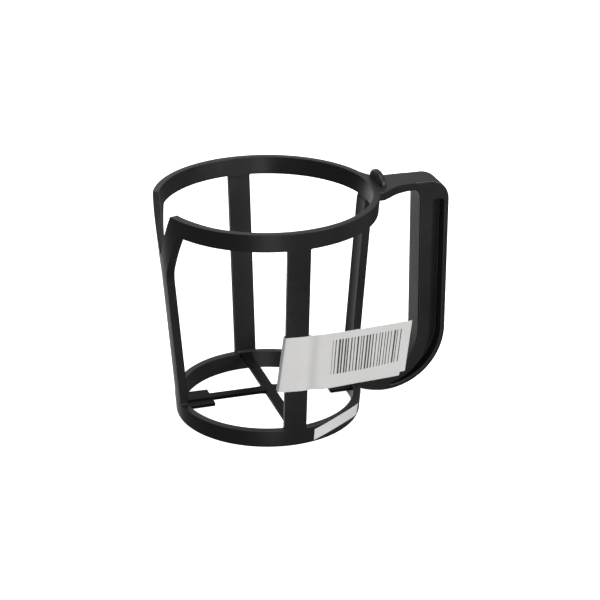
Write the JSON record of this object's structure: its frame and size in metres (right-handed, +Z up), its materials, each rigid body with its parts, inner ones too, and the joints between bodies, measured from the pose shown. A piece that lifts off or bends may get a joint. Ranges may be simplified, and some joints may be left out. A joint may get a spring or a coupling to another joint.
{
  "type": "bottle cage with handle",
  "caption": "Open tapered black plastic cage with a V-split rim, a base cross and a fixed side handle, to hold a drink bottle, carrying a blank-coded paper label.",
  "frame": {"origin": "on the axis of the cage, in the plane that the foot ring stands on", "axes": "+Z up along the cage's axis, +X from the axis through the handle, -Y towards the upright that carries the label"},
  "size_m": [0.1122, 0.085, 0.0922],
  "materials": {
    "cage_plastic": "satin moulded black",
    "label_paper": "uncoated white paper with plain printed bars",
    "sticker_paper": "small white paper strip"
  },
  "bodies": {
    "root": {"foot_ring": "cage_plastic", "rim_ring": "cage_plastic", "split_arm_rear": "cage_plastic", "split_arm_front": "cage_plastic", "split_stem": "cage_plastic", "front_upright": "cage_plastic", "rear_upright": "cage_plastic", "handle_upright": "cage_plastic", "cross_bar": "cage_plastic", "tie_split_side": "cage_plastic", "tie_handle_side": "cage_plastic", "tab_split_side": "cage_plastic", "tab_handle_side": "cage_plastic", "handle_top_bar": "cage_plastic", "handle_corner": "cage_plastic", "grip_strap": "cage_plastic", "bow_strap": "cage_plastic", "outer_flange": "cage_plastic", "grip_web": "cage_plastic", "handle_foot": "cage_plastic", "thumb_rest": "cage_plastic", "barcode_label": "label_paper", "origin_sticker": "sticker_paper"}
  },
  "joints": []
}
